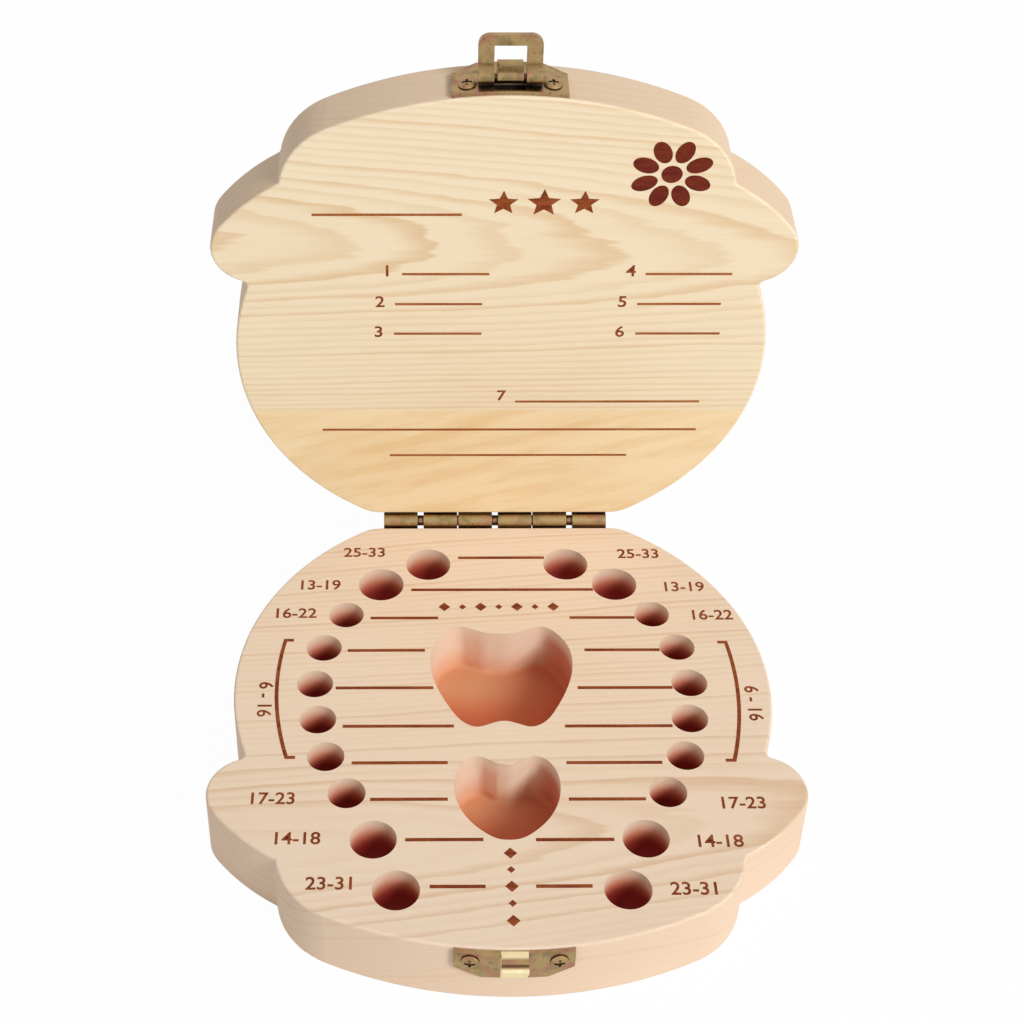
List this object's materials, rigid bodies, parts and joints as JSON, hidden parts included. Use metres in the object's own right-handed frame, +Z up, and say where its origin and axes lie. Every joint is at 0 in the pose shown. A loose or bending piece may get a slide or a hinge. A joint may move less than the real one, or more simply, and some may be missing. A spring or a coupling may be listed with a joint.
{
  "type": "baby tooth box",
  "caption": "Hinged wooden keepsake box for milk teeth: two boards shaped as a capped head, tooth sockets and two pockets in the base, swing latch in front.",
  "frame": {"origin": "centre of the base board's underside", "axes": "+Z up, +Y towards the hinge at the back, -Y towards the latch at the front, +X to the right seen from the front"},
  "size_m": [0.12, 0.1333, 0.1432],
  "materials": {
    "base_pine": "sanded, unvarnished pine with burnt marks",
    "lid_pine": "sanded, unvarnished pine with burnt marks",
    "plated_hardware": "yellow-plated stamped metal, slightly tarnished",
    "pin_metal": "drawn wire, lightly tarnished",
    "screw_metal": "yellow-plated round-headed wood screws"
  },
  "bodies": {
    "base": {"base_board": "base_pine", "hinge_base_leaf": "plated_hardware", "hinge_pin": "pin_metal", "hinge_base_screws": "screw_metal", "catch_plate": "plated_hardware", "catch_screws": "screw_metal"},
    "lid": {"lid_board": "lid_pine", "hinge_lid_leaf": "plated_hardware", "hinge_lid_screws": "screw_metal", "latch_plate": "plated_hardware", "latch_screws": "screw_metal"},
    "bail": {"latch_bail": "plated_hardware"}
  },
  "joints": [
    {"name": "lid_hinge", "type": "hinge", "parent": "base", "child": "lid", "pos_m": [0, 0.05999, 0.0151], "axis": [-1, 0, 0], "range_deg": [-85, 95]},
    {"name": "bail_swing", "type": "hinge", "parent": "lid", "child": "bail", "pos_m": [0, 0.05271, 0.13501], "axis": [-1, 0, 0], "range_deg": [-95, 50]}
  ]
}
